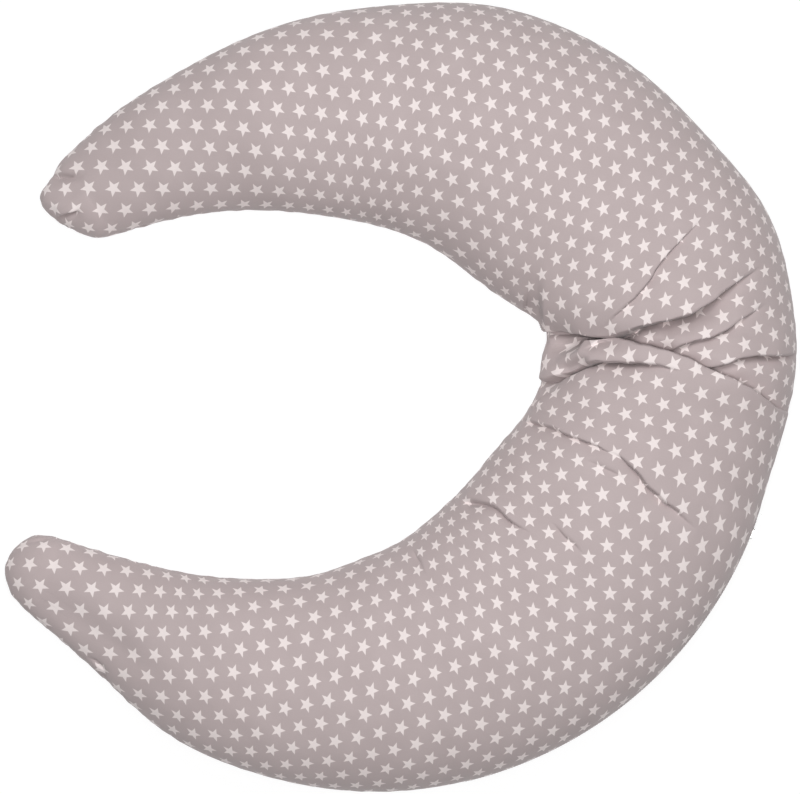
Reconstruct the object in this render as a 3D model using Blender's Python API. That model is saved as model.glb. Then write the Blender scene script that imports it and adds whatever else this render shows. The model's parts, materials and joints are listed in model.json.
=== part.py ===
"""Crescent nursing pillow: a zipped cover over a sewn lining and its bead filling.

Metres, +Z up. The origin is the middle of the footprint, on the surface the pillow lies on.
The open side of the crescent faces -X. A spoke is a line in plan from the seam to the crest
line; every layer is built on the same spokes, so the layers nest inside one another.
"""
import math

import bmesh
import bpy
import numpy as np
from mathutils import Vector

# ---- overall sizes ------------------------------------------------------------------------
OVERALL_WIDTH = 0.794        # the crescent across, along X
SEAM_HEIGHT = 0.072          # side seam above the table, where the pillow is wide
CREST_RISE = 0.095           # crest above the side seam, where the pillow is wide
SEAM_HEIGHT_RATIO = 0.80     # the same two against the half width, in the slim arms
CREST_RISE_RATIO = 0.74
FLAT_SHARE = 0.62            # share of the width that lies flat on the table
ROUNDNESS = 2.2              # section exponent: 2 is an ellipse, more is boxier

# ---- outline, drawn at its own size and scaled to OVERALL_WIDTH ----------------------------
DRAWN_WIDTH = 0.794
RIBS_TO_ARC = [              # (outer seam, inner seam) from the upper tip to the middle
    ((-0.339, 0.236), (-0.284, 0.164)),
    ((-0.225, 0.320), (-0.157, 0.186)),
    ((-0.085, 0.378), (-0.055, 0.177)),
    ((0.085, 0.391), (0.039, 0.144)),
    ((0.246, 0.320), (0.101, 0.099)),
    ((0.367, 0.178), (0.143, 0.066)),
    ((0.396, 0.038), (0.141, 0.029)),
]
ARC_CENTRE = (-0.0285, 0.0135)   # the lower arm's outer seam is one arc, and the zip lies in it
ARC_RADIUS = 0.4086
ARC_START = -14.5                # degrees, at the first rib on the arc
ARC_STEP = -23.0                 # degrees from one rib on the arc to the next
ARC_INNER = [(0.118, -0.027), (0.069, -0.085), (0.022, -0.129), (-0.034, -0.160)]
RIBS_AFTER_ARC = [
    ((-0.160, -0.370), (-0.138, -0.181)),
    ((-0.268, -0.308), (-0.223, -0.175)),
    ((-0.369, -0.218), (-0.337, -0.144)),
]
UPPER_TIP_REACH = 0.052      # how far each rounded tip runs past its last rib
LOWER_TIP_REACH = 0.047

# ---- cloth, seams and room between the layers ----------------------------------------------
COVER_CLOTH = 0.0008
LINING_CLOTH = 0.0006
GAP = 0.0003                 # between pieces that touch
COVER_ALLOWANCE = 0.0075     # seam allowance turned inward
LINING_ALLOWANCE = 0.006
SIDE_ROOM = 0.0015           # from the cover's overlock to the lining, and lining's to filling
OVERLOCK_LEG = 0.0033        # how far the overlock reaches over the allowance
THREAD = 0.0004
CLOSURE_LENGTH = 0.120       # the hand-closed stretch of the lining's seam
CLOSURE_WIDTH = 0.003

# ---- zip ----------------------------------------------------------------------------------
ZIP_LENGTH = 0.400
ZIP_MIDDLE = -48.0           # degrees on the arc
ZIP_OPENING = 0.0035         # cover's edge from the middle of the zip
ZIP_END_RUN = 0.010          # over which the cover's edges part at each end
HEM = 0.0020
TAPE_WIDTH = 0.0096
TAPE_CLOTH = 0.0006
TAPE_END = 0.0010            # tape short of the opening at each end
COIL_INNER = 0.00055         # from the middle of the zip to the coil
COIL_WIDTH = 0.00165
COIL_THICKNESS = 0.0014
STOP_LENGTH = 0.0027
STOP_PLACE = 0.0020          # stops from the end of the opening

SLIDER_LENGTH = 0.011
SLIDER_PLATE = 0.0012
SLIDER_HALF_WIDTH = 0.0042
SLIDER_LIFT = 0.0006         # outer plate off the cover
SLIDER_WING = 0.0006
SLIDER_POST = 0.00022        # half thickness
SLIDER_INNER_HALF_WIDTH = 0.0032
SLIDER_PARK = 0.0006         # left between slider and stop at each end
TAB_LENGTH = 0.024
TAB_HALF_WIDTH = 0.00145
TAB_THICKNESS = 0.0012
TAB_BAR = 0.0005             # radius of the bar that the tab swings on
TAB_EYE = 0.0009             # radius of the hole round it
TAB_EYE_OUTER = 0.0017
EAR = 0.0008

# ---- mesh density -------------------------------------------------------------------------
STATION_SPACING = 0.080
ZIP_STATIONS = 12
TIP_STEPS = 6
TOP_ROWS = 4
BOTTOM_ROWS = 4

SCALE = OVERALL_WIDTH / DRAWN_WIDTH


# ---- outline ------------------------------------------------------------------------------
def arc_point(degrees):
    """Point on the drawn outer arc at a polar angle in degrees."""
    angle = math.radians(degrees)
    return (ARC_CENTRE[0] + ARC_RADIUS * math.cos(angle), ARC_CENTRE[1] + ARC_RADIUS * math.sin(angle))


def smooth_curve(points, places):
    """Twice-smooth curve through the points, read at fractional point numbers."""
    points = np.array(points, float)
    knots = np.concatenate([[0.0], np.cumsum(np.hypot(*np.diff(points, axis=0).T))])
    step = np.diff(knots)[:, None]
    count = len(points)
    system = np.zeros((count, count))
    right = np.zeros((count, 2))
    rise = np.diff(points, axis=0) / step
    for k in range(1, count - 1):
        system[k, k - 1:k + 2] = step[k, 0], 2 * (step[k - 1, 0] + step[k, 0]), step[k - 1, 0]
        right[k] = 3 * (step[k, 0] * rise[k - 1] + step[k - 1, 0] * rise[k])
    system[0, :2] = 2, 1
    system[-1, -2:] = 1, 2
    right[0] = 3 * rise[0]
    right[-1] = 3 * rise[-1]
    slope = np.linalg.solve(system, right)
    places = np.asarray(places, float)
    k = np.clip(places.astype(int), 0, count - 2)
    t = (places - k)[:, None]
    h = step[k]
    return (points[k] * (2 * t**3 - 3 * t**2 + 1) + points[k + 1] * (3 * t**2 - 2 * t**3)
            + slope[k] * h * (t**3 - 2 * t**2 + t) + slope[k + 1] * h * (t**3 - t**2))


def zip_angles():
    """Polar angles of the stations along the zip's opening, in degrees."""
    half = math.degrees(ZIP_LENGTH / 2 / (ARC_RADIUS * SCALE))
    return np.linspace(ZIP_MIDDLE + half, ZIP_MIDDLE - half, ZIP_STATIONS + 1)


def station_places():
    """Rib numbers of all stations, and which of them lie along the zip."""
    first = len(RIBS_TO_ARC)
    last = first + len(ARC_INNER) - 1
    outer = ([rib[0] for rib in RIBS_TO_ARC]
             + [arc_point(ARC_START + ARC_STEP * k) for k in range(len(ARC_INNER))]
             + [rib[0] for rib in RIBS_AFTER_ARC])
    inner = [rib[1] for rib in RIBS_TO_ARC] + ARC_INNER + [rib[1] for rib in RIBS_AFTER_ARC]

    along_zip = first + (zip_angles() - ARC_START) / ARC_STEP
    end_run = math.degrees(ZIP_END_RUN / (ARC_RADIUS * SCALE)) / abs(ARC_STEP)
    before, after = along_zip[0] - end_run, along_zip[-1] + end_run
    fine = np.linspace(0, len(outer) - 1, 2001)
    length = np.concatenate([[0.0], np.cumsum(np.hypot(*np.diff(smooth_curve(outer, fine), axis=0).T))])

    def evenly(start, end):
        run = np.interp([start, end], fine, length)
        count = max(1, round((run[1] - run[0]) * SCALE / STATION_SPACING))
        return np.interp(np.linspace(run[0], run[1], count + 1), length, fine)

    head, tail = evenly(0, before), evenly(after, len(outer) - 1)
    places = np.concatenate([head, along_zip, tail])
    outer_points = smooth_curve(outer, places)
    on_arc = (places >= first) & (places <= last)
    outer_points[on_arc] = [arc_point(ARC_START + ARC_STEP * (p - first)) for p in places[on_arc]]
    at_zip = np.zeros(len(places), bool)
    at_zip[len(head):len(head) + len(along_zip)] = True
    return outer_points * SCALE, smooth_curve(inner, places) * SCALE, at_zip


class Spokes:
    """The closed ring of spokes: outer seam, lower tip, inner seam, upper tip."""

    def __init__(self):
        outer, inner, at_zip = station_places()
        middle = (outer + inner) / 2
        half = np.hypot(*(outer - inner).T) / 2
        count = len(outer)
        turn = np.linspace(0, math.pi, TIP_STEPS + 1)[1:-1, None]

        def tip(k, neighbour, start, reach):
            across = start - middle[k]
            away = middle[k] - middle[neighbour]
            away -= across * (away @ across) / (across @ across)
            away *= reach * SCALE / np.hypot(*away)
            return middle[k] + across * np.cos(turn) + away * np.sin(turn)

        lower = tip(count - 1, count - 2, outer[-1], LOWER_TIP_REACH)
        upper = tip(0, 1, inner[0], UPPER_TIP_REACH)
        self.station = np.concatenate([np.arange(count), np.full(len(turn), count - 1),
                                       np.arange(count)[::-1], np.zeros(len(turn), int)])
        self.rim = np.concatenate([outer, lower, inner[::-1], upper])
        self.zip = np.concatenate([at_zip, np.zeros(len(self.rim) - count, bool)])
        low, high = self.rim.min(axis=0), self.rim.max(axis=0)
        self.shift = -(low + high) / 2
        self.rim = self.rim + self.shift
        self.crest = middle + self.shift
        spoke = self.rim - self.crest[self.station]
        self.outward = spoke / np.hypot(*spoke.T)[:, None]
        self.seam_z = np.minimum(SEAM_HEIGHT, SEAM_HEIGHT_RATIO * half)
        self.rise = np.minimum(CREST_RISE, CREST_RISE_RATIO * half)

    def row(self, depth, share, height):
        """Points at a share of the way from the crest to the rim moved inward by depth."""
        rim = self.rim - self.outward * np.reshape(depth, (-1, 1))
        crest = self.crest[self.station]
        plan = crest + (rim - crest) * share
        return np.column_stack([plan, np.broadcast_to(height, len(plan))])

    def crest_row(self, height):
        return np.column_stack([self.crest, height])


def section(rows, flat):
    """Share of the way out and share of the height, from the seam to the crest or the flat."""
    turn = np.linspace(0, math.pi / 2, rows + 1)
    power = 2 / ROUNDNESS
    share = flat + (1 - flat) * np.maximum(np.cos(turn), 0) ** power
    return share, np.sin(turn) ** power


# ---- mesh helpers ---------------------------------------------------------------------------
def material(name, colour, roughness, metallic=0.0):
    made = bpy.data.materials.new(name)
    made.use_nodes = True
    shader = made.node_tree.nodes["Principled BSDF"]
    shader.inputs["Base Color"].default_value = (*colour, 1.0)
    shader.inputs["Roughness"].default_value = roughness
    shader.inputs["Metallic"].default_value = metallic
    return made


def add_object(name, bm, finish, origin=(0, 0, 0), parent=None):
    bmesh.ops.recalc_face_normals(bm, faces=bm.faces)
    mesh = bpy.data.meshes.new(name)
    bmesh.ops.translate(bm, verts=bm.verts, vec=-Vector(origin))
    bm.to_mesh(mesh)
    bm.free()
    mesh.materials.append(finish)
    mesh.shade_smooth()
    mesh.set_sharp_from_angle(angle=math.radians(40))
    made = bpy.data.objects.new(name, mesh)
    bpy.context.scene.collection.objects.link(made)
    made.location = origin
    if parent:
        made.parent = parent
        made.location = Vector(origin) - parent.location
    return made


def join_rows(bm, first, second):
    """Triangles between two closed rows, the outer row first, so that all layers crease alike."""
    for k in range(len(first)):
        n = (k + 1) % len(first)
        for corners in ((first[k], first[n], second[n]), (first[k], second[n], second[k])):
            if len(set(corners)) == 3:
                bm.faces.new(corners)


def row_vertices(bm, points):
    return [bm.verts.new(point) for point in points]


def cloth_panel(name, spokes, side, cloth, depth, cover, edge, allowance, finish):
    """One open sheet from the turned-in allowance over the rim to the crest line.

    side is 1 for the top and -1 for the bottom; depth moves the rim inward, cover is what lies
    over this layer at the crest and the table, and edge is its edge's distance from the seam.
    """
    station = spokes.station
    seam = spokes.seam_z[station]
    bm = bmesh.new()
    rows = [spokes.row(depth + allowance, 1, seam + side * edge)]
    if side > 0:
        for share, level in zip(*section(TOP_ROWS, 0)):
            rise = spokes.rise[station] - cover - edge
            rows.append(spokes.row(depth, share, seam + edge + rise * level))
        rows.pop()
        crest = spokes.seam_z + spokes.rise - cover
    else:
        for share, level in zip(*section(BOTTOM_ROWS, FLAT_SHARE)):
            drop = seam - edge - cover
            rows.append(spokes.row(depth, share, seam - edge - drop * level))
        crest = np.full(len(spokes.crest), cover)
    rings = [row_vertices(bm, row) for row in rows]
    ridge = row_vertices(bm, spokes.crest_row(crest))
    for first, second in zip(rings, rings[1:]):
        join_rows(bm, first, second)
    join_rows(bm, rings[-1], [ridge[k] for k in station])
    made = add_object(name, bm, finish)
    up = sum(face.normal.z * face.area for face in made.data.polygons)
    if up * side < 0:
        made.data.flip_normals()
    wall = made.modifiers.new("cloth", "SOLIDIFY")
    wall.thickness = cloth
    wall.offset = -1
    wall.use_even_offset = True
    wall.use_quality_normals = True
    return made


def filling(spokes, depth, cover, finish):
    """One closed body inside the lining."""
    station = spokes.station
    seam = spokes.seam_z[station]
    upward, downward = spokes.rise[station] - cover, cover - seam
    halves = (
        (upward, section(TOP_ROWS, 0), TOP_ROWS, spokes.seam_z + spokes.rise - cover),
        (downward, section(BOTTOM_ROWS, FLAT_SHARE), BOTTOM_ROWS + 1, np.full(len(spokes.crest), cover)),
    )
    bm = bmesh.new()
    rim = row_vertices(bm, spokes.row(depth, 1, seam))
    for reach, (shares, levels), count, crest in halves:
        outer = rim
        for share, level in zip(shares[1:count], levels[1:count]):
            inner = row_vertices(bm, spokes.row(depth, share, seam + reach * level))
            join_rows(bm, outer, inner)
            outer = inner
        ridge = row_vertices(bm, spokes.crest_row(crest))
        join_rows(bm, outer, [ridge[k] for k in station])
    return add_object("filling", bm, finish)


def sweep(name, sections, finish, closed=False, parent=None, origin=(0, 0, 0)):
    """A body from a list of sections, each an array of points; open runs get flat ends."""
    bm = bmesh.new()
    rings = [row_vertices(bm, points) for points in sections]
    pairs = list(zip(rings, rings[1:]))
    if closed:
        pairs.append((rings[-1], rings[0]))
    else:
        bm.faces.new(rings[0])
        bm.faces.new(rings[-1][::-1])
    for first, second in pairs:
        join_rows(bm, first, second)
    return add_object(name, bm, finish, origin, parent)


def overlock(name, spokes, picked, depth, allowance, cloth, closed, finish):
    """C-shaped binding of thread round both raw edges; picked are the spokes it follows."""
    inner = GAP / 2 + cloth + GAP
    outer = inner + THREAD
    web = allowance + GAP
    start = web + THREAD - OVERLOCK_LEG
    shape = [(start, inner), (start, outer), (web + THREAD, outer), (web + THREAD, -outer),
             (start, -outer), (start, -inner), (web, -inner), (web, inner)]
    seam = spokes.seam_z[spokes.station]
    rows = np.array([spokes.row(depth + inward, 1, seam + up) for inward, up in shape])
    return sweep(name, [rows[:, k] for k in picked], finish, closed)


# ---- zip ------------------------------------------------------------------------------------
class ZipFrame:
    """Places along the zip: polar about the arc's centre, at the height of the seam."""

    def __init__(self, spokes):
        self.centre = np.array(ARC_CENTRE) * SCALE + spokes.shift
        self.radius = ARC_RADIUS * SCALE
        self.angles = np.radians(zip_angles())
        self.height = float(spokes.seam_z[spokes.station[np.flatnonzero(spokes.zip)[0]]])

    def point(self, angle, depth, up):
        reach = self.radius - depth
        return (self.centre[0] + reach * math.cos(angle), self.centre[1] + reach * math.sin(angle),
                self.height + up)

    def along(self, start, end):
        """Angles from start to end, both measured from the opening's ends, with its stations."""
        first = self.angles[0] - start / self.radius
        last = self.angles[-1] + end / self.radius
        between = [a for a in self.angles if last < a < first]
        return [first] + between + [last]

    def strip(self, name, angles, shape, finish):
        return sweep(name, [[self.point(a, d, u) for d, u in shape] for a in angles], finish)


def wall_lean(spokes):
    """Largest inward run of the cover's lowest chord for each unit of its height, at the zip."""
    half = np.hypot(*(spokes.rim - spokes.crest[spokes.station]).T)[spokes.zip].max()
    top_share, top_level = section(TOP_ROWS, 0)
    low_share, low_level = section(BOTTOM_ROWS, FLAT_SHARE)
    top = half * (1 - top_share[1]) / (top_level[1] * (CREST_RISE - ZIP_OPENING))
    low = half * (1 - low_share[1]) / (low_level[1] * (SEAM_HEIGHT - ZIP_OPENING))
    return max(top, low)


def rectangle(d0, d1, u0, u1):
    return [(d0, u0), (d0, u1), (d1, u1), (d1, u0)]


def box(corner, opposite):
    bm = bmesh.new()
    size = np.subtract(opposite, corner)
    bmesh.ops.create_cube(bm, size=1)
    bmesh.ops.scale(bm, vec=size, verts=bm.verts)
    bmesh.ops.translate(bm, vec=np.add(opposite, corner) / 2, verts=bm.verts)
    return bm


def placed(bm, zip_frame, angle):
    """Turn a body drawn with X outward, Y against the travel and Z up to its place on the arc."""
    for vertex in bm.verts:
        x, y, z = vertex.co
        cos, sin = math.cos(angle), math.sin(angle)
        reach = zip_frame.radius + x
        vertex.co = (zip_frame.centre[0] + reach * cos - y * sin,
                     zip_frame.centre[1] + reach * sin + y * cos, zip_frame.height + z)
    return bm


def unite(base, extras):
    """Boolean union of the extra bodies into the base, applied on export."""
    for extra in extras:
        extra.hide_render = True
        extra.display_type = "WIRE"
        cut = base.modifiers.new(extra.name, "BOOLEAN")
        cut.operation = "UNION"
        cut.object = extra
    return base


def make_slider(zip_frame, angle, tape_inner, finish, axis):
    """Two plates on a thin post, wings that guide the coils, and ears with the tab's bar."""
    half = SLIDER_LENGTH / 2
    top = SLIDER_LIFT + SLIDER_PLATE
    wing = COIL_INNER + COIL_WIDTH + GAP
    floor = -tape_inner - GAP * 2
    bar = top + GAP + TAB_EYE_OUTER
    ear_in = TAB_HALF_WIDTH + GAP
    lap = SLIDER_PLATE / 2
    pieces = [
        box((floor - SLIDER_PLATE, -half * 0.86, -SLIDER_INNER_HALF_WIDTH),
            (floor, half * 0.86, SLIDER_INNER_HALF_WIDTH)),
        box((floor - lap, -half * 0.4, -SLIDER_POST), (SLIDER_LIFT + lap, half * 0.4, SLIDER_POST)),
    ]
    for side in (-1, 1):
        low, high = sorted((side * wing, side * (wing + SLIDER_WING)))
        pieces.append(box((-COIL_THICKNESS, -half * 0.9, low), (SLIDER_LIFT + lap, half * 0.9, high)))
        low, high = sorted((side * ear_in, side * (ear_in + EAR)))
        pieces.append(box((top - lap, -TAB_EYE_OUTER, low), (bar + TAB_BAR * 2, TAB_EYE_OUTER, high)))
    rod = bmesh.new()
    bmesh.ops.create_cone(rod, cap_ends=True, segments=12, radius1=TAB_BAR, radius2=TAB_BAR,
                          depth=2 * ear_in + EAR)
    bmesh.ops.translate(rod, vec=(bar, 0, 0), verts=rod.verts)
    pieces.append(rod)
    plate = box((SLIDER_LIFT, -half, -SLIDER_HALF_WIDTH), (top, half, SLIDER_HALF_WIDTH))
    upright = [edge for edge in plate.edges if abs(edge.verts[0].co.x - edge.verts[1].co.x) > 1e-5]
    bmesh.ops.bevel(plate, geom=upright, offset=0.0016, segments=2, affect="EDGES", profile=0.5)
    body = add_object("zip_slider", placed(plate, zip_frame, angle), finish,
                      origin=zip_frame.point(angle, 0, 0), parent=axis)
    extras = [add_object("slider_block_%d" % k, placed(piece, zip_frame, angle), finish)
              for k, piece in enumerate(pieces)]
    return unite(body, extras), bar


def make_pull_tab(zip_frame, angle, bar, finish, slider):
    """Flat tab with an eye round the slider's bar and a rounded far end."""
    bm = bmesh.new()
    steps = 16
    rim, hole = [], []
    half = TAB_THICKNESS / 2
    leave = math.asin(half / TAB_EYE_OUTER)
    for k in range(steps + 1):
        turn = leave + (2 * math.pi - 2 * leave) * k / steps
        rim.append((bar + TAB_EYE_OUTER * math.sin(turn), TAB_EYE_OUTER * math.cos(turn)))
        hole.append((bar + TAB_EYE * math.sin(turn), TAB_EYE * math.cos(turn)))
    # sides of the eye, then the flat blade that leaves it
    levels = {}
    for side in (-1, 1):
        z = side * TAB_HALF_WIDTH
        levels[side] = ([bm.verts.new((x, y, z)) for x, y in rim],
                        [bm.verts.new((x, y, z)) for x, y in hole],
                        [bm.verts.new((bar + s * half, TAB_LENGTH, z)) for s in (1, -1)])
    for side in (-1, 1):
        outer, inner, end = levels[side]
        for k in range(steps):
            bm.faces.new([outer[k], outer[k + 1], inner[k + 1], inner[k]])
        bm.faces.new([outer[0], inner[0], inner[-1], outer[-1]])
        bm.faces.new([outer[0], outer[-1], end[1], end[0]])
    (outer_a, inner_a, end_a), (outer_b, inner_b, end_b) = levels[-1], levels[1]
    for k in range(steps):
        bm.faces.new([outer_a[k], outer_a[k + 1], outer_b[k + 1], outer_b[k]])
        bm.faces.new([inner_a[k], inner_b[k], inner_b[k + 1], inner_a[k + 1]])
    bm.faces.new([inner_a[-1], inner_b[-1], inner_b[0], inner_a[0]])
    bm.faces.new([outer_a[0], outer_b[0], end_b[0], end_a[0]])
    bm.faces.new([outer_a[-1], end_a[1], end_b[1], outer_b[-1]])
    bm.faces.new([end_a[0], end_b[0], end_b[1], end_a[1]])
    origin = zip_frame.point(angle, -bar, 0)
    made = add_object("zip_pull_tab", placed(bm, zip_frame, angle), finish, origin=origin)
    made.parent = slider
    made.location = Vector(origin) - Vector(zip_frame.point(angle, 0, 0))
    return made


def make_zip(spokes, finishes):
    zip_frame = ZipFrame(spokes)
    tape_outer = HEM + GAP
    tape_inner = tape_outer + TAPE_CLOTH
    coil_outer = tape_outer - GAP - COIL_THICKNESS
    coil_depth = (coil_outer, coil_outer + COIL_THICKNESS)
    lean = wall_lean(spokes) * TAPE_WIDTH
    coil_start = STOP_PLACE + STOP_LENGTH + GAP
    for name, side in (("upper", 1), ("lower", -1)):
        edge = side * (COIL_INNER + TAPE_WIDTH)
        near = side * COIL_INNER
        tape = [(tape_outer, near), (tape_outer, side * ZIP_OPENING), (tape_outer + lean, edge),
                (tape_inner + lean, edge), (tape_inner, side * ZIP_OPENING), (tape_inner, near)]
        zip_frame.strip("zip_tape_" + name, zip_frame.along(TAPE_END, TAPE_END), tape, finishes["tape"])
        far = side * (COIL_INNER + COIL_WIDTH)
        coil = rectangle(*coil_depth, near, far)
        zip_frame.strip("zip_coil_" + name, zip_frame.along(coil_start, coil_start), coil,
                        finishes["coil"])
        begin = zip_frame.angles[0] - STOP_PLACE / zip_frame.radius
        end = begin - STOP_LENGTH / zip_frame.radius
        zip_frame.strip("zip_top_stop_" + name, [begin, end], coil, finishes["metal"])
    begin = zip_frame.angles[-1] + (STOP_PLACE + STOP_LENGTH) / zip_frame.radius
    end = zip_frame.angles[-1] + STOP_PLACE / zip_frame.radius
    reach = COIL_INNER + COIL_WIDTH
    zip_frame.strip("zip_bottom_stop", [begin, end], rectangle(*coil_depth, -reach, reach),
                    finishes["metal"])

    axis = bpy.data.objects.new("slider_travel_axis", None)
    axis.location = (*zip_frame.centre, zip_frame.height)
    bpy.context.scene.collection.objects.link(axis)
    inset = coil_start + SLIDER_PARK + SLIDER_LENGTH / 2
    angle = zip_frame.angles[0] - inset / zip_frame.radius
    slider, bar = make_slider(zip_frame, angle, tape_inner, finishes["metal"], axis)
    make_pull_tab(zip_frame, angle, bar, finishes["metal"], slider)
    travel = zip_frame.angles[0] - zip_frame.angles[-1] - 2 * inset / zip_frame.radius
    print("slider axis", *zip_frame.centre, "travel", round(travel, 5), "rest angle", round(angle, 5))
    print("tab axis", *zip_frame.point(angle, -bar, 0))


def make_pillow():
    spokes = Spokes()
    star_cloth = material("star_print_cotton", (0.40, 0.36, 0.34), 0.85)
    finishes = {
        "tape": material("zip_tape", (0.42, 0.38, 0.36), 0.8),
        "coil": material("zip_coil", (0.52, 0.48, 0.46), 0.4),
        "metal": material("zip_metal", (0.62, 0.62, 0.63), 0.3, 1.0),
    }
    lining_cloth = material("lining_cotton", (0.82, 0.81, 0.78), 0.85)
    thread = material("sewing_thread", (0.60, 0.56, 0.54), 0.7)
    beads = material("bead_fill", (0.90, 0.90, 0.90), 0.8)

    edge = np.where(spokes.zip, ZIP_OPENING, GAP / 2)
    allowance = np.where(spokes.zip, HEM, COVER_ALLOWANCE)
    for name, side in (("cover_top_panel", 1), ("cover_bottom_panel", -1)):
        cloth_panel(name, spokes, side, COVER_CLOTH, 0, 0, edge, allowance, star_cloth)
    order = np.flatnonzero(spokes.zip)
    sewn = [(order[-1] + 1 + k) % len(spokes.rim) for k in range(len(spokes.rim) - len(order))]
    overlock("cover_seam_overlock", spokes, sewn, 0, COVER_ALLOWANCE, COVER_CLOTH, False, thread)

    lining_depth = COVER_ALLOWANCE + GAP + THREAD + SIDE_ROOM
    lining_cover = COVER_CLOTH + GAP
    for name, side in (("lining_top_panel", 1), ("lining_bottom_panel", -1)):
        cloth_panel(name, spokes, side, LINING_CLOTH, lining_depth, lining_cover, GAP / 2,
                    LINING_ALLOWANCE, lining_cloth)
    everywhere = list(range(len(spokes.rim)))
    overlock("lining_seam_overlock", spokes, everywhere, lining_depth, LINING_ALLOWANCE,
             LINING_CLOTH, True, thread)
    closure_stitch(spokes, lining_depth, thread)
    filling(spokes, lining_depth + LINING_ALLOWANCE + GAP + THREAD + GAP,
            lining_cover + LINING_CLOTH + GAP, beads)
    make_zip(spokes, finishes)


def closure_stitch(spokes, lining_depth, finish):
    """Band of closing stitches on the outside of the lining's seam, opposite the open side."""
    middle = int(np.argmax(spokes.rim[:, 0]))
    before = int(round(CLOSURE_LENGTH / 2 / STATION_SPACING)) or 1
    picked = [middle + k for k in range(-before, before + 1)]
    depth = lining_depth - GAP - THREAD
    half = CLOSURE_WIDTH / 2
    seam = spokes.seam_z[spokes.station]
    shape = rectangle(depth, depth + THREAD, -half, half)
    rows = np.array([spokes.row(inward, 1, seam + up) for inward, up in shape])
    return sweep("lining_closure_stitch", [rows[:, k] for k in picked], finish)


for old in list(bpy.data.objects):
    bpy.data.objects.remove(old, do_unlink=True)
make_pillow()
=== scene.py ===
"""Looks of the crescent nursing pillow: star-print cover, its folds, seams, zip and insides."""
import json
import math
from collections import namedtuple

import bpy
import numpy as np
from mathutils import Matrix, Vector


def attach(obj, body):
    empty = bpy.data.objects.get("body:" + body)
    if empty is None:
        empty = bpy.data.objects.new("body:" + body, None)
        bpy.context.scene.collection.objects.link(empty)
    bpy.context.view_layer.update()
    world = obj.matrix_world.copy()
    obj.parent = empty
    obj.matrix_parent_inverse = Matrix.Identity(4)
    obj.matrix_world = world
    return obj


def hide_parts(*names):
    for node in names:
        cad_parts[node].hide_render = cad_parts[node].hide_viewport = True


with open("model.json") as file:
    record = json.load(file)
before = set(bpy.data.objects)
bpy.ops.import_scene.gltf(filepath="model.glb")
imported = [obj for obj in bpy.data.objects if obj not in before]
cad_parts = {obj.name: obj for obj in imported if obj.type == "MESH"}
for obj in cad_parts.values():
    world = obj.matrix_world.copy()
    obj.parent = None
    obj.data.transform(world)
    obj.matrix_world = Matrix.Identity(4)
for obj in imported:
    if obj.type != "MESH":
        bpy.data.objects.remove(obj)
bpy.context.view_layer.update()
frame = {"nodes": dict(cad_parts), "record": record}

# ---- outline of the cover in plan: (outer seam, inner seam) from the upper tip to the middle ----
RIBS_TO_ARC = [
    ((-0.340, 0.238), (-0.284, 0.164)),
    ((-0.2855, 0.2855), (-0.216, 0.181)),
    ((-0.226, 0.323), (-0.157, 0.187)),
    ((-0.161, 0.356), (-0.107, 0.185)),
    ((-0.0855, 0.381), (-0.055, 0.178)),
    ((-0.005, 0.392), (0.001, 0.164)),
    ((0.086, 0.392), (0.040, 0.145)),
    ((0.172, 0.366), (0.071, 0.122)),
    ((0.246, 0.321), (0.101, 0.100)),
    ((0.313, 0.255), (0.125, 0.085)),
    ((0.370, 0.180), (0.144, 0.067)),
    ((0.3925, 0.098), (0.144, 0.052)),
    ((0.397, 0.039), (0.141, 0.029)),
    ((0.388, -0.019), (0.136, 0.002)),
]
ARC_CENTRE = np.array([-0.0285, 0.0135])  # the lower arm's outer seam is one arc
ARC_RADIUS = 0.4086
ARC_START = -14.5  # degrees, at the first rib on the arc
ARC_STEP = -11.5  # degrees from one rib on the arc to the next
ARC_INNER = [(0.118, -0.027), (0.092, -0.057), (0.069, -0.085), (0.046, -0.108), (0.022, -0.129),
             (-0.004, -0.147), (-0.034, -0.160)]
RIBS_AFTER_ARC = [
    ((-0.069, -0.392), (-0.082, -0.177)),
    ((-0.160, -0.371), (-0.138, -0.182)),
    ((-0.234, -0.336), (-0.195, -0.179)),
    ((-0.302, -0.278), (-0.250, -0.169)),
    ((-0.3705, -0.220), (-0.337, -0.144)),
]
UPPER_TIP = [(-0.304, 0.160), (-0.322, 0.165), (-0.340, 0.174), (-0.354, 0.185), (-0.362, 0.200),
             (-0.355, 0.214), (-0.347, 0.226)]
LOWER_TIP = [(-0.3835, -0.2075), (-0.3925, -0.195), (-0.397, -0.180), (-0.396, -0.166), (-0.388, -0.153),
             (-0.377, -0.143), (-0.356, -0.139)]
SEAM_HEIGHT = 0.072  # side seam above the table, where the pillow is wide
CREST_RISE = 0.095  # crest above the side seam, where the pillow is wide
SEAM_HEIGHT_RATIO = 0.80  # the same two against the half width, in the slim arms
CREST_RISE_RATIO = 0.74
FLAT_SHARE = 0.62  # share of the width that lies flat on the table
ROUNDNESS = 1.95  # section exponent: 2 is an ellipse, more is boxier

# ---- zip ----
ZIP_LENGTH = 0.400
ZIP_MIDDLE = -48.0  # degrees on the arc
ZIP_OPENING = 0.0035  # cover's edge from the middle of the zip
ZIP_END_RUN = 0.010  # over which the cover's edges part at each end
ZIP_HEM = 0.0020  # cloth turned in at the zip
COVER_ALLOWANCE = 0.0075  # cloth turned in along the rest of the seam
COIL_DEPTH = 0.0016  # the coil's middle behind the edge of the cover
COIL_MIDDLE = 0.00125  # and to either side of the seam's height
COIL_HALF = (0.00045, 0.00115)  # half its thickness and half its width
COIL_PITCH = 0.00115
COIL_START = 0.0050  # coil from the end of the opening
COIL_THREAD = 0.00027
COIL_STEPS = 10  # points for each turn
SEAM_GAP = 0.00015  # half the gap between the two panels at the sewn seam

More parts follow.
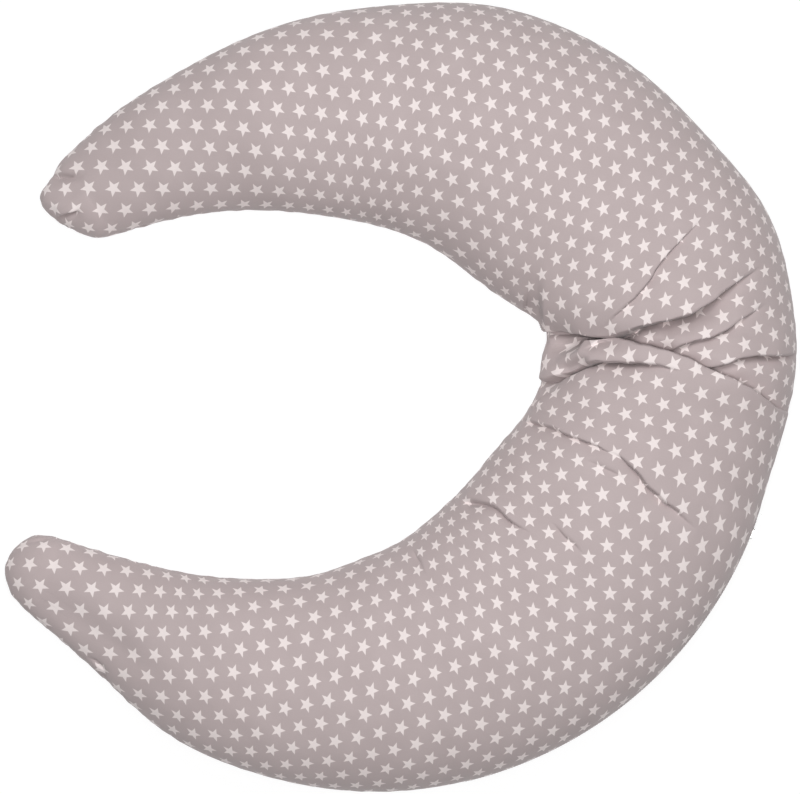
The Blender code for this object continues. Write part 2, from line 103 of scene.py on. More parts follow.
# ---- sewing ----
TURN_IN_RADIUS = 0.0005  # where the cloth turns in over its edge
TURN_IN_DROP = 0.00002  # keeps the two sides' turned-in cloth apart
COVER_SEWING = (0.0068, 0.0016)  # overlock: depth behind the seam, swing to either side
LINING_SEWING = (0.0125, 0.0014)
OVERLOCK_STITCH = 0.0026
OVERLOCK_STEPS = 8  # points for each stitch
OVERLOCK_LOOP = 0.0004  # rise and fall of its loops
OVERLOCK_CLEAR = 4  # spokes it keeps from either end of the zip
SEWING_THREAD = 0.0002  # radius of every sewn thread
CLOSING_DEPTH = 0.0092  # closing stitches behind the cover's seam
CLOSING_SPOKES = 50  # spokes to either side of the outermost one
CLOSING_STITCH = 0.0032
CLOSING_STEPS = 330
CLOSING_RISE = 0.0010
CLOSING_POWER = 0.4  # less than 1 makes its waves boxy
TOPSTITCH_FROM_EDGE = 0.0034
TOPSTITCH = 0.0030
TOPSTITCH_STEPS = 10
TOPSTITCH_ROWS = 12  # rows of the cover that are searched for its place
TOPSTITCH_RISE, TOPSTITCH_SINK = 0.00050, 0.00026

# ---- print ----
STAR_PITCH = 0.0253  # from one star to the next, on a lattice of equal triangles
STAR_RADIUS = 0.0089
STAR_WAIST = 0.43  # inner corners against the tips
TENTH_OF_TURN = math.radians(36)
STAR_EDGE = (-0.00030, 0.00025)  # the ink fades out between these, across its edge
STAR_RAGGED = 0.0005
THREAD_PITCH = 0.00055  # of the weave

# ---- stage ----
FLOOR_HALF, FLOOR_DROP = 16.0, 0.0005
LIGHTS = [("key", (0.2, 1.3, 3.6), 1.4, 66), ("fill", (0.0, -0.2, 4.2), 1.2, 94)]  # place, width, watts
CAMERA_HEIGHT, CAMERA_ASIDE = 6.0, 0.5e-3
SEEN_WIDTH = 0.800  # in view at the seam's height
SENSOR_WIDTH = 36  # millimetres

# ---- mesh density ----
FINE_STEP, COARSE_STEP = 0.0012, 0.0050  # between stations at the folds and elsewhere
TOP_ROWS, BOTTOM_ROWS, FLAT_ROWS = 112, 40, 16  # from seam to crest, to the flat, and across the flat
TIP_STEPS = 48  # spokes of the fan round each tip
FOLD_RIBS = (8.0, 9.4, 17.6, 20.0)  # stations crowd together between these ribs

# where the drawn outline lies in the frame: the slider turns about the arc's centre
SLIDER_AXIS = np.array(next(j for j in frame["record"]["behaviour"]["joints"]
                            if j["name"] == "slider_travel")["pos_m"])
SHIFT = SLIDER_AXIS[:2] - ARC_CENTRE


def smooth_curve(points, places):
    """Curve through the points, read at fractional point numbers.

    Each stretch is a cubic; slope and curvature agree where two meet, and the ends don't curve.
    """
    points = np.array(points, float)
    step = np.hypot(*np.diff(points, axis=0).T)[:, None]
    count = len(points)
    system = np.zeros((count, count))
    right = np.zeros((count, points.shape[1]))
    rise = np.diff(points, axis=0) / step
    for k in range(1, count - 1):
        system[k, k - 1:k + 2] = step[k, 0], 2 * (step[k - 1, 0] + step[k, 0]), step[k - 1, 0]
        right[k] = 3 * (step[k, 0] * rise[k - 1] + step[k - 1, 0] * rise[k])
    system[0, :2] = 2, 1
    system[-1, -2:] = 1, 2
    right[0] = 3 * rise[0]
    right[-1] = 3 * rise[-1]
    slope = np.linalg.solve(system, right)
    places = np.asarray(places, float)
    k = np.clip(places.astype(int), 0, count - 2)
    t = (places - k)[:, None]
    h = step[k]
    return (points[k] * (2 * t**3 - 3 * t**2 + 1) + points[k + 1] * (3 * t**2 - 2 * t**3)
            + slope[k] * h * (t**3 - 2 * t**2 + t) + slope[k + 1] * h * (t**3 - t**2))


def lengths(points):
    """Running length along a row of points."""
    return np.concatenate([[0.0], np.cumsum(np.linalg.norm(np.diff(points, axis=0), axis=1))])


def read_line(at, run, line):
    """The rows of a line, known at the running lengths in run, read at other lengths."""
    return np.stack([np.interp(at, run, column) for column in line.T], axis=1)


def ease(low, high, value):
    """0 below low, 1 above high, smooth between."""
    t = np.clip((value - low) / (high - low), 0, 1)
    return t * t * (3 - 2 * t)


def arc_point(degrees):
    """Point on the lower arm's outer seam: centre plus radius times cosine and sine."""
    angle = np.radians(degrees)
    return ARC_CENTRE + ARC_RADIUS * np.stack([np.cos(angle), np.sin(angle)], axis=-1)


class Ring:
    """The closed ring of spokes from the seam to the crest line, seen in plan.

    The outer side runs from the upper tip to the lower, a fan turns round the lower tip, the
    inner side runs back and a second fan closes the ring. rib is the place along the arms as a
    rib number.
    """

    def __init__(self, fine=FINE_STEP, coarse=COARSE_STEP, tip_steps=TIP_STEPS):
        first = len(RIBS_TO_ARC)
        last = first + len(ARC_INNER) - 1
        arc = [tuple(arc_point(ARC_START + ARC_STEP * k)) for k in range(len(ARC_INNER))]
        outer = [r[0] for r in RIBS_TO_ARC] + arc + [r[0] for r in RIBS_AFTER_ARC]
        inner = [r[1] for r in RIBS_TO_ARC] + ARC_INNER + [r[1] for r in RIBS_AFTER_ARC]

        # stations crowd together where the folds are
        trial = np.linspace(0, len(outer) - 1, 4001)
        length = lengths(smooth_curve(outer, trial))
        crowd = ease(*FOLD_RIBS[:2], trial) * (1 - ease(*FOLD_RIBS[2:], trial))
        density = 1 / coarse + (1 / fine - 1 / coarse) * crowd
        total = np.concatenate([[0.0], np.cumsum((density[1:] + density[:-1]) / 2 * np.diff(length))])
        count = int(total[-1]) + 1
        places = np.interp(np.linspace(0, total[-1], count), total, trial)

        def tip(start, points, end):
            steps = np.linspace(0, len(points) + 1, tip_steps + 1)[1:-1]
            return smooth_curve([tuple(start)] + points + [tuple(end)], steps) + SHIFT

        seam_outer = smooth_curve(outer, places)
        on_arc = (places >= first) & (places <= last)
        seam_outer[on_arc] = arc_point(ARC_START + ARC_STEP * (places[on_arc] - first))
        seam_inner = smooth_curve(inner, places)
        lower = tip(seam_outer[-1], LOWER_TIP, seam_inner[-1])
        upper = tip(seam_inner[0], UPPER_TIP, seam_outer[0])
        seam_outer, seam_inner = seam_outer + SHIFT, seam_inner + SHIFT
        half = np.linalg.norm(seam_outer - seam_inner, axis=1) / 2
        fan = len(lower)
        self.count = count
        self.station = np.concatenate([np.arange(count), np.full(fan, count - 1),
                                       np.arange(count)[::-1], np.zeros(fan, int)])
        spokes = np.arange(len(self.station))
        self.inner = (spokes >= count + fan) & (spokes < 2 * count + fan)
        self.rim = np.concatenate([seam_outer, lower, seam_inner[::-1], upper])
        self.crest = (seam_outer + seam_inner) / 2
        self.places = places
        self.rib = places[self.station]
        self.seam_z = np.minimum(SEAM_HEIGHT, SEAM_HEIGHT_RATIO * half)
        self.rise = np.minimum(CREST_RISE, CREST_RISE_RATIO * half)
        spoke = self.rim - self.crest[self.station]
        self.outward = spoke / np.linalg.norm(spoke, axis=1)[:, None]
        along = self.rim - ARC_CENTRE - SHIFT
        polar = np.degrees(np.arctan2(along[:, 1], along[:, 0]))
        reach = math.degrees(ZIP_LENGTH / 2 / ARC_RADIUS)
        run = math.degrees(ZIP_END_RUN / ARC_RADIUS)
        self.zip = (spokes < count) * (1 - ease(reach, reach + run, np.abs(polar - ZIP_MIDDLE)))
        self.seam_run = lengths(self.rim)


def section(rows, flat):
    """Share of the way out and share of the height, from the seam to the crest or the flat.

    They are the cosine and the sine of a quarter turn, each to the power 2 / ROUNDNESS; the first
    ends at the share that is flat.
    """
    turn = np.linspace(0, math.pi / 2, rows + 1)
    power = 2 / ROUNDNESS
    return flat + (1 - flat) * np.maximum(np.cos(turn), 0) ** power, np.sin(turn) ** power


def ring_rows(ring, side, depth=0.0, cover=0.0):
    """Plain crowned surface as rows x spokes x 3, from the seam to just short of the crest.

    A point lies at section's share of its spoke, and its height goes from the seam's to the
    crest's or the base's by section's other share. side is 1 for the top and -1 for the bottom;
    depth moves the rim inward along its spoke and cover lowers the crest and lifts the base.
    """
    edge = SEAM_GAP + (ZIP_OPENING - SEAM_GAP) * ring.zip
    seam = ring.seam_z[ring.station]
    rim = ring.rim - ring.outward * depth
    crest = ring.crest[ring.station]
    if side > 0:
        share, level = section(TOP_ROWS, 0)
        share, level = share[:-1], level[:-1]
        height = seam + edge + np.outer(level, ring.rise[ring.station] - cover - edge)
    else:
        share, level = section(BOTTOM_ROWS, FLAT_SHARE)
        flat = np.linspace(FLAT_SHARE, 0, FLAT_ROWS + 1)[1:-1]
        height = seam - edge - np.outer(level, seam - edge - cover)
        height = np.concatenate([height, np.full((len(flat), len(seam)), cover)])
        share = np.concatenate([share, flat])
    plan = crest[None] + (rim - crest)[None] * share[:, None, None]
    return np.concatenate([plan, height[..., None]], axis=2), share


def crest_row(ring, side, cover=0.0):
    """The crest line on top, or the middle line of the flat underside."""
    height = ring.seam_z + ring.rise - cover if side > 0 else np.full(ring.count, cover)
    return np.column_stack([ring.crest, height])


def sheet_mesh(name, ring, rows, crest, side):
    """Mesh of quads between closed rows, closed on the crest line that both arm sides share."""
    levels, spokes = rows.shape[:2]
    points = np.concatenate([rows.reshape(-1, 3), crest])
    grid = np.arange(levels * spokes).reshape(levels, spokes)
    grid = np.concatenate([grid, (levels * spokes + ring.station)[None]])
    a, b = grid[:-1], np.roll(grid, -1, axis=1)[:-1]
    c, d = np.roll(grid, -1, axis=1)[1:], grid[1:]
    quads = np.stack([a, b, c, d], axis=2).reshape(-1, 4)
    if side > 0:
        quads = quads[:, ::-1]
    thin = (quads[:, 0] == quads[:, 1]) | (quads[:, 2] == quads[:, 3])
    faces = quads[~thin].tolist() + [list(dict.fromkeys(q)) for q in quads[thin].tolist()]
    mesh = bpy.data.meshes.new(name)
    mesh.from_pydata(points.tolist(), [], faces)
    return mesh, points


def tube(name, path, side_on, radius, sides=6):
    """Round thread along a path: a circle of the radius in the plane square to the path.

    side_on is a direction per point that is not along the path; the ends are closed flat.
    """
    ahead = np.gradient(path, axis=0)
    ahead /= np.linalg.norm(ahead, axis=1)[:, None]
    across = np.cross(ahead, side_on)
    across /= np.linalg.norm(across, axis=1)[:, None]
    up = np.cross(across, ahead)
    turn = np.arange(sides) / sides * 2 * math.pi
    ring_points = (path[:, None] + radius * (across[:, None] * np.cos(turn)[None, :, None]
                                             + up[:, None] * np.sin(turn)[None, :, None]))
    grid = np.arange(len(path) * sides).reshape(len(path), sides)
    following = np.roll(grid, -1, axis=1)
    quads = np.stack([grid[:-1], following[:-1], following[1:], grid[1:]], axis=2).reshape(-1, 4)
    mesh = bpy.data.meshes.new(name)
    mesh.from_pydata(ring_points.reshape(-1, 3).tolist(), [],
                     quads[:, ::-1].tolist() + [grid[0].tolist(), grid[-1][::-1].tolist()])
    return mesh


def put(name, mesh, material):
    """Object with the mesh in place, in the scene."""
    mesh.materials.append(material)
    mesh.shade_smooth()
    piece = bpy.data.objects.new(name, mesh)
    bpy.context.scene.collection.objects.link(piece)
    return piece


def set_points(mesh, points):
    """Move all the mesh's points."""
    mesh.vertices.foreach_set("co", np.ascontiguousarray(points, np.float32).ravel())
    mesh.update()


def normals(mesh):
    """Directions square to the mesh at its points."""
    out = np.empty(len(mesh.vertices) * 3, np.float32)
    mesh.vertex_normals.foreach_get("vector", out)
    return out.reshape(-1, 3).astype(float)


# ---- how the cloth lies: its print turns along the arms, and jumps across the main fold ----
# pairs of (rib, degrees): the turn of the print along the crest, and of its rows across the arm
TURN_ABOVE = [(0, 28), (1, 28.5), (2, 28), (3, 27), (4, 24.5), (5, 21), (6, 14), (7, 9.5), (9, 7),
              (10, 3), (25, 1)]
ROWS_ABOVE = [(0, 29), (2, 31), (3, 30), (4, 26), (5, 16), (6, 17), (7, 20), (8, 19), (9, 15), (25, 15)]
TURN_BELOW = [(0, 16), (13, 16), (14, 17), (15.5, 7), (16.5, -1), (17.5, -2), (19, -12), (20, -15),
              (21, -19), (22, -24), (23, -29), (25, -31)]
ROWS_BELOW = [(0, 15), (13, 15), (14, 11), (15.5, -1), (16.5, -3), (17.5, -10), (19, -17), (20, -19),
              (21, -20), (22, -17), (23, -18), (24, -26), (25, -34)]
# pairs of (rib, cloth length for each length of the pillow), along the crest and across the arm
GATHER = [(0, 0.98), (1, 1.05), (2, 1.11), (3, 1.13), (4, 1.22), (5, 1.31), (6, 1.18), (8, 1.22),
          (10, 1.24), (13, 1.13), (13.6, 1.12), (13.9, 0.99), (15.2, 0.99), (15.5, 1.15), (17.5, 1.25),
          (19, 1.21), (21, 1.155), (23, 1.11), (24.3, 0.985), (25, 0.925)]
ACROSS = [(0, 1.00), (4, 0.99), (5, 1.03), (7, 1.06), (9, 1.10), (10, 1.15), (13, 1.13), (15.5, 1.09),
          (17.5, 1.05), (20, 0.99), (22, 1.03), (23, 1.08), (24.3, 1.01), (25, 1.02)]
MAP_START = 11.5  # rib at which both layouts start from their origins
ORIGIN_ABOVE = (0.0070, -0.0028)
ORIGIN_BELOW = (0.0085, 0.0027)
FOLD_PARTS = (9, 15)  # ribs between which the main fold parts the two layouts
FOLD_RIB = 12  # elsewhere they meet at this one


def read_table(pairs, ribs):
    """Straight lines between the pairs of (rib, value)."""
    return np.interp(ribs, *zip(*pairs))


def cloth_map(ring, turns, row_turns, side, rows, origin):
    """Place of every point on the uncut cloth, in metres: crest line first, then out along spokes.

    The crest line is laid out at its own length times the gathering, in the arm's direction less
    the print's turn. A point then lies its arc length away, in its spoke's direction less the
    turn of the rows.
    """
    step = np.diff(ring.crest, axis=0)
    middle = (ring.places[1:] + ring.places[:-1]) / 2
    heading = np.unwrap(np.arctan2(step[:, 1], step[:, 0])) - np.radians(read_table(turns, middle))
    stride = np.hypot(*step.T) * read_table(GATHER, middle)
    line = np.concatenate([[[0, 0]], np.cumsum(stride[:, None] * np.stack(
        [np.cos(heading), np.sin(heading)], axis=1), axis=0)])
    line = line - line[int(np.argmin(np.abs(ring.places - MAP_START)))] + origin
    direction = np.arctan2(ring.outward[:, 1], ring.outward[:, 0])
    direction -= np.radians(read_table(row_turns, ring.rib))
    out = np.stack([np.cos(direction), np.sin(direction)], axis=1)
    out *= read_table(ACROSS, ring.rib)[:, None]
    run = np.linalg.norm(np.diff(rows, axis=0), axis=2)
    last = np.linalg.norm(rows[-1] - crest_row(ring, side)[ring.station], axis=1)
    arc = np.cumsum(np.concatenate([run, last[None]])[::-1], axis=0)[::-1]
    places = line[ring.station][None] + out[None] * arc[..., None]
    return np.concatenate([places.reshape(-1, 2), line])


def write_cloth_map(mesh, places):
    """Keep each point's place on the uncut cloth in the mesh."""
    layer = mesh.uv_layers.new(name="cloth")
    index = np.empty(len(mesh.loops), np.int32)
    mesh.loops.foreach_get("vertex_index", index)
    layer.data.foreach_set("uv", places[index].astype(np.float32).ravel())


# ---- folds ----
# Each fold runs along a path in plan. The cloth on the left of the path laps over: it stands up as
# a rounded lip that leans over the path, and sinks back slowly. On the right the cloth goes down
# under the lip. start and end are the shares of the path over which the fold comes up and dies
# away; the others are metres: lip height, lip radius, run over which the lip sinks back, lean,
# depth, and run of the hollow.
Fold = namedtuple("Fold", "path lip radius run lean depth hollow start end")
MAIN_FOLD = [(0.398, -0.020), (0.368, -0.006), (0.343, 0.008), (0.315, 0.021), (0.283, 0.036),
             (0.260, 0.045), (0.235, 0.051), (0.217, 0.056), (0.201, 0.059), (0.179, 0.056),
             (0.159, 0.060), (0.138, 0.062)]
PRINT_PARTING = [(0.50, -0.07)] + MAIN_FOLD + [(0.08, 0.064)]  # the print jumps along this line
FOLDS = [
    Fold(MAIN_FOLD, 0.0068, 0.0040, 0.024, 0.0056, 0.0150, 0.0120, 0.26, 0.06),
    Fold([(0.136, 0.065), (0.165, 0.0645), (0.205, 0.0625), (0.230, 0.069), (0.269, 0.079),
          (0.288, 0.085), (0.311, 0.099), (0.338, 0.116), (0.362, 0.131)],
         0.0095, 0.0055, 0.036, 0.0062, 0.0180, 0.0150, 0.04, 0.35),
    Fold([(0.196, 0.067), (0.207, 0.077), (0.242, 0.110), (0.260, 0.136), (0.279, 0.156),
          (0.303, 0.181)],
         0.0028, 0.0030, 0.020, 0.0016, 0.0048, 0.0075, 0.35, 0.35),
    Fold([(0.262, 0.043), (0.280, 0.052), (0.305, 0.059), (0.337, 0.076), (0.368, 0.095)],
         0.0042, 0.0045, 0.016, 0.0032, 0.0085, 0.0095, 0.12, 0.50),
    Fold([(0.288, 0.031), (0.315, 0.031), (0.334, 0.038), (0.361, 0.042), (0.387, 0.041),
          (0.402, 0.042)],
         0.0058, 0.0045, 0.016, 0.0040, 0.0110, 0.0100, 0.20, 0.30),
    Fold([(0.128, 0.010), (0.148, 0.0215), (0.165, 0.030), (0.183, 0.035), (0.202, 0.0355),
          (0.225, 0.034), (0.248, 0.031), (0.280, 0.021)],
         0.0052, 0.0040, 0.014, 0.0044, 0.0130, 0.0110, 0.10, 0.40),
    Fold([(0.122, -0.023), (0.144, -0.0275), (0.169, -0.038), (0.202, -0.052), (0.214, -0.059)],
         0.0026, 0.0030, 0.020, 0.0016, 0.0056, 0.0065, 0.10, 0.35),
    Fold([(0.205, -0.052), (0.220, -0.062), (0.236, -0.078), (0.248, -0.092), (0.271, -0.111),
          (0.296, -0.134)],
         0.0030, 0.0045, 0.024, 0.0012, 0.0072, 0.0110, 0.30, 0.45),
    Fold([(0.178, -0.060), (0.205, -0.071), (0.228, -0.086)],
         0.0014, 0.0060, 0.014, 0.0, 0.0020, 0.0080, 0.45, 0.45),
    Fold([(0.060, -0.103), (0.082, -0.104), (0.101, -0.114), (0.110, -0.123), (0.133, -0.134)],
         0.0025, 0.0040, 0.018, 0.0014, 0.0060, 0.0075, 0.12, 0.45),
    Fold([(0.146, -0.120), (0.164, -0.138), (0.185, -0.158)],
         0.0012, 0.0050, 0.014, 0.0004, 0.0028, 0.0055, 0.45, 0.45),
    Fold([(0.012, -0.150), (0.020, -0.163), (0.027, -0.176)],
         0.0010, 0.0050, 0.012, 0.0, 0.0024, 0.0060, 0.30, 0.60),
    Fold([(0.178, 0.046), (0.192, 0.052), (0.207, 0.053)],
         0.0022, 0.0025, 0.008, 0.0008, 0.0042, 0.0035, 0.4, 0.4),
    Fold([(0.174, 0.053), (0.190, 0.0565), (0.206, 0.057)],
         0.0016, 0.0025, 0.006, 0.0006, 0.0032, 0.0030, 0.4, 0.4),
    Fold([(0.148, 0.008), (0.142, 0.000), (0.134, -0.012)],
         0.0020, 0.0030, 0.008, 0.0008, 0.0042, 0.0040, 0.3, 0.3),
    # tucks at the two tips
    Fold([(-0.345, 0.180), (-0.333, 0.183), (-0.318, 0.188)],
         0.0024, 0.0030, 0.008, 0.0014, 0.0090, 0.0050, 0.2, 0.5),
    Fold([(-0.352, 0.223), (-0.337, 0.222), (-0.312, 0.220)],
         0.0020, 0.0050, 0.012, 0.0, 0.0060, 0.0070, 0.2, 0.6),
    Fold([(-0.376, -0.146), (-0.366, -0.144), (-0.353, -0.142)],
         0.0010, 0.0020, 0.004, 0.0005, 0.0035, 0.0020, 0.2, 0.2),
    Fold([(-0.288, -0.290), (-0.297, -0.280), (-0.299, -0.273), (-0.311, -0.263)],
         0.0015, 0.0030, 0.008, 0.0008, 0.0045, 0.0030, 0.3, 0.1),
]
SLOT_SHARE, SLOT_FROM = 1.2, 0.0050  # a fold deeper than the second gets a slot along its line
SLOT_HALF = 0.0019
DEEPEST_FOLD = 0.034  # where folds cross
HOLLOW_POWER = 1.2  # of the exponential by which the hollow dies away
LEAN_RADII = 2.5  # lip radii over which the lean dies away
WOBBLE = 0.0003  # of a fold's line
WOBBLE_X, WOBBLE_Y = 310, 370  # its waves, in radians a metre

# broad dents and ridges
Swell = namedtuple("Swell", "path height width start end")
MIDDLE_DENT = Swell([(0.120, 0.055), (0.180, 0.050), (0.260, 0.040), (0.340, 0.025)],
                    -0.014, 0.030, 0.02, 0.70)
SWELLS = [
    MIDDLE_DENT,
    Swell([(0.150, 0.095), (0.215, 0.105), (0.280, 0.135)], 0.0040, 0.035, 0.4, 0.5),
    Swell([(0.150, 0.0505), (0.190, 0.0435), (0.235, 0.0435), (0.275, 0.034)], 0.0050, 0.010, 0.15, 0.5),
    Swell([(0.138, 0.057), (0.156, 0.054), (0.176, 0.050)], -0.0150, 0.008, 0.2, 0.4),
    Swell([(0.146, 0.026), (0.166, 0.034), (0.188, 0.038)], -0.0100, 0.005, 0.3, 0.3),
    Swell([(0.236, 0.064), (0.290, 0.080), (0.330, 0.105)], -0.0050, 0.008, 0.3, 0.3),
    # hollows along the tips
    Swell([(-0.362, 0.204), (-0.340, 0.202), (-0.312, 0.206)], -0.0035, 0.008, 0.3, 0.5),
    Swell([(-0.375, -0.190), (-0.358, -0.201), (-0.316, -0.228), (-0.263, -0.262), (-0.225, -0.295)],
          -0.0045, 0.015, 0.3, 0.4),
]

# ---- how the cover lies at its seam and over the filling ----
RIM_SHARE = 0.45  # share of a fold's depth by which it draws the seam in
RIM_NOTCH = 0.0035  # and the most it draws in
RIM_RUN, RIM_RUN_BELOW = 0.012, 0.022  # over which that dies out above and below the seam
HOLD_RUN = 0.006  # beside the zip, over which folds come up
SWELL_RUN = 0.035  # from the seam, over which dents and ridges come up
SLIM_ENDS = (0.5, 3.0, 22.0, 24.5)  # ribs: slim before the first, wide from second to third
PUCKER_REACH, PUCKER_SPREAD = 0.010, 0.004
PUCKER_WAVES = (0.017, 0.023, 0.031)
PUCKER, PUCKER_SLIM, PUCKER_INNER = 0.0005, 0.0008, 0.0003  # everywhere, and more of it there
SEAM_SINK, SEAM_SINK_RUN = 0.0012, 0.003
LUMPS, LUMPS_RUN = 0.0010, 0.05  # soft unevenness, and the run over which it comes up
RIPPLES, RIPPLES_RUN = 0.0007, 0.03

# ---- lining and filling ----
INSIDE_DENSITY = {"fine": 0.009, "coarse": 0.012, "tip_steps": 14}
DENT_CLEAR, DENT_SHARE = 0.006, 2.0  # a dent under a fold: this and so many times its depth
DENT_WIDTH = 0.020
DEEPEST_DENT = 0.046


def shifted(path):
    """The drawn path at its place in the frame."""
    return [tuple(np.array(point) + SHIFT) for point in path]


def along_path(points, path):
    """For each point in plan: its share of the path, its distance to the left, and that direction."""
    samples = smooth_curve(path, np.linspace(0, len(path) - 1, 24 * len(path)))
    run = lengths(samples)
    ahead = np.gradient(samples, axis=0)
    ahead /= np.linalg.norm(ahead, axis=1)[:, None]
    near = np.concatenate([
        np.argmin(((part[:, None] - samples[None]) ** 2).sum(axis=2), axis=1)
        for part in np.array_split(points, len(points) // 8192 + 1)])
    away = points - samples[near]
    left = np.stack([-ahead[near][:, 1], ahead[near][:, 0]], axis=1)
    side = (left * away).sum(axis=1)
    distance = np.linalg.norm(away, axis=1)
    return run[near] / run[-1], np.where(side >= 0, distance, -distance), left


def near_path(plan, path, margin=0.075):
    """Points that lie in the path's box with a margin round it."""
    path = np.array(path)
    return ((plan > path.min(axis=0) - margin) & (plan < path.max(axis=0) + margin)).all(axis=1)


def fold_move(plan, fold):
    """Height and plan movement that one fold gives, at distance t to the left of its path.

    On the left a quarter circle stands up from the bottom of the fold to the lip, and the lip
    sinks back as a bell curve; it leans over the path in step with its height. On the right the
    depth dies away exponentially.
    """
    path = shifted(fold.path)
    height, aside = np.zeros(len(plan)), np.zeros((len(plan), 2))
    near = near_path(plan, path)
    share, left, direction = along_path(plan[near], path)
    x, y = plan[near].T
    left = left + WOBBLE * np.sin(x * WOBBLE_X + 1) + WOBBLE * np.sin(y * WOBBLE_Y + 2)
    fade = ease(0, fold.start, share) * ease(0, fold.end, 1 - share)
    rise = np.sqrt(1 - (1 - np.clip(left / fold.radius, 0, 1)) ** 2)
    slot = SLOT_SHARE * max(fold.depth - SLOT_FROM, 0)
    over = -fold.depth - slot + (fold.lip + fold.depth + slot) * rise
    bell = fold.lip * np.exp(-((left - fold.radius) / fold.run) ** 2)
    over = np.where(left > fold.radius, bell, over)
    under = -fold.depth * np.exp(-(np.abs(left) / fold.hollow) ** HOLLOW_POWER)
    under = under - slot * np.exp(-np.abs(left) / SLOT_HALF)
    height[near] = np.where(left > 0, over, under) * fade
    back = np.maximum(left - fold.radius, 0)
    overhang = fold.lean * rise * np.exp(-back / (LEAN_RADII * fold.radius)) * fade
    aside[near] = -direction * np.where(left > 0, overhang, 0)[:, None]
    return height, aside


def swell_height(plan, swell):
    """A ridge along a path with a bell-shaped section."""
    path = shifted(swell.path)
    out = np.zeros(len(plan))
    near = near_path(plan, path, 3 * swell.width)
    share, left, direction = along_path(plan[near], path)
    out[near] = (swell.height * np.exp(-(left / swell.width) ** 2)
                 * ease(0, swell.start, share) * ease(0, swell.end, 1 - share))
    return out


def wander(run, seed, steps):
    """Smooth irregular wave from -1 to 1: sines of uneven lengths with shifted starts."""
    value = np.zeros_like(run)
    for k, step in enumerate(steps):
        start = seed * (k + 1) * 1.7
        value += np.sin(2 * math.pi * run / step + start + np.sin(run / step / 2.3 + seed))
    return value / len(steps)


def folds_at(plan):
    """All folds together: height and plan movement."""
    moves = [fold_move(plan, fold) for fold in FOLDS]
    height = np.maximum(sum(height for height, aside in moves), -DEEPEST_FOLD)
    return height, sum(aside for height, aside in moves)


def shape_cover(ring, side, mesh, points, levels):
    """Move the plain crowned sheet to its final shape.

    Each point moves along its normal by a sum: waves along the seam that die away from it as an
    exponential, a bell-shaped sink at the seam, slow sines all over and, on top, the folds, dents
    and ridges. The folds' leaning lips also move it in plan.
    """
    spokes = len(ring.rim)
    normal = normals(mesh)
    rows = points[:levels * spokes].reshape(levels, spokes, 3)
    arc = np.cumsum(np.concatenate([np.zeros((1, spokes)), np.linalg.norm(
        np.diff(rows, axis=0), axis=2)]), axis=0)
    from_seam = np.concatenate([arc.ravel(), np.full(ring.count, 1.0)])
    spoke_of = np.concatenate([np.tile(np.arange(spokes), levels), np.zeros(ring.count, int)])
    calm = 1 - ring.zip[spoke_of]
    run = ring.seam_run[spoke_of]
    slim = 1 - ease(*SLIM_ENDS[:2], ring.rib) + ease(*SLIM_ENDS[2:], ring.rib)
    slim = slim[spoke_of]

    # needle puckers that die out a finger's width from the seam
    reach = PUCKER_REACH + PUCKER_SPREAD * wander(run, 2.0, [0.13, 0.31])
    pucker = wander(run, 1.0 + side, PUCKER_WAVES) * np.exp(-from_seam / reach)
    move = pucker * calm * (PUCKER + PUCKER_SLIM * slim + PUCKER_INNER * ring.inner[spoke_of])
    # the seam itself lies a little inside the fullness on both sides of it
    move -= SEAM_SINK * calm * np.exp(-(from_seam / SEAM_SINK_RUN) ** 2)
    # soft unevenness of the filling
    x, y = points[:, 0], points[:, 1]
    waves = np.sin(31 * x + 17 * y + 1.0) + np.sin(23 * y - 29 * x + 2.0) + np.sin(53 * x + 3.0)
    move += LUMPS * waves / 3 * ease(0.0, LUMPS_RUN, from_seam)
    move += (RIPPLES * wander(x + 0.6 * y, 3.0, [0.047, 0.083])
             * wander(y - 0.4 * x, 5.0, [0.059, 0.097]) * ease(0.0, RIPPLES_RUN, from_seam))
    rim_height = np.clip(RIM_SHARE * folds_at(ring.rim)[0], -RIM_NOTCH, 0) * (1 - ring.zip)
    rim_height = (rim_height + np.roll(rim_height, 1) + np.roll(rim_height, -1)) / 3
    if side > 0:
        height, aside = folds_at(points[:, :2])
        at_rim = np.exp(-from_seam / RIM_RUN)
        hold = 1 - ring.zip[spoke_of] * np.exp(-from_seam / HOLD_RUN)
        # a lip keeps off the seam, and a valley reaches it at part of its depth
        height_off = height * (1 - at_rim)
        move += np.where(height > 0, height_off, height_off + at_rim * rim_height[spoke_of]) * hold
        swell = sum(swell_height(points[:, :2], swell) for swell in SWELLS)
        move += swell * ease(0, SWELL_RUN, from_seam)
        points = points + np.column_stack([aside * (hold * (1 - at_rim))[:, None], 0 * move])
    else:
        # below the seam the valleys run on a little way and die out
        move += rim_height[spoke_of] * np.exp(-from_seam / RIM_RUN_BELOW)
    points = points + normal * move[:, None]
    # the pillow rests on its underside, which lies flat there
    points[:, 2] = np.maximum(points[:, 2], 0)
    return points


# ---- materials ----
class Value:
    """A shader socket that takes part in sums and products."""

    def __init__(self, graph, socket):
        self.graph, self.socket = graph, socket

    def output(self, name):
        """Another output of the same node."""
        return Value(self.graph, self.socket.node.outputs[name])

    def __add__(self, other):
        return self.graph.math("ADD", self, other)

    def __sub__(self, other):
        return self.graph.math("SUBTRACT", self, other)

    def __rsub__(self, other):
        return self.graph.math("SUBTRACT", other, self)

    def __mul__(self, other):
        return self.graph.math("MULTIPLY", self, other)

    def __truediv__(self, other):
        return self.graph.math("DIVIDE", self, other)

    __radd__, __rmul__ = __add__, __mul__


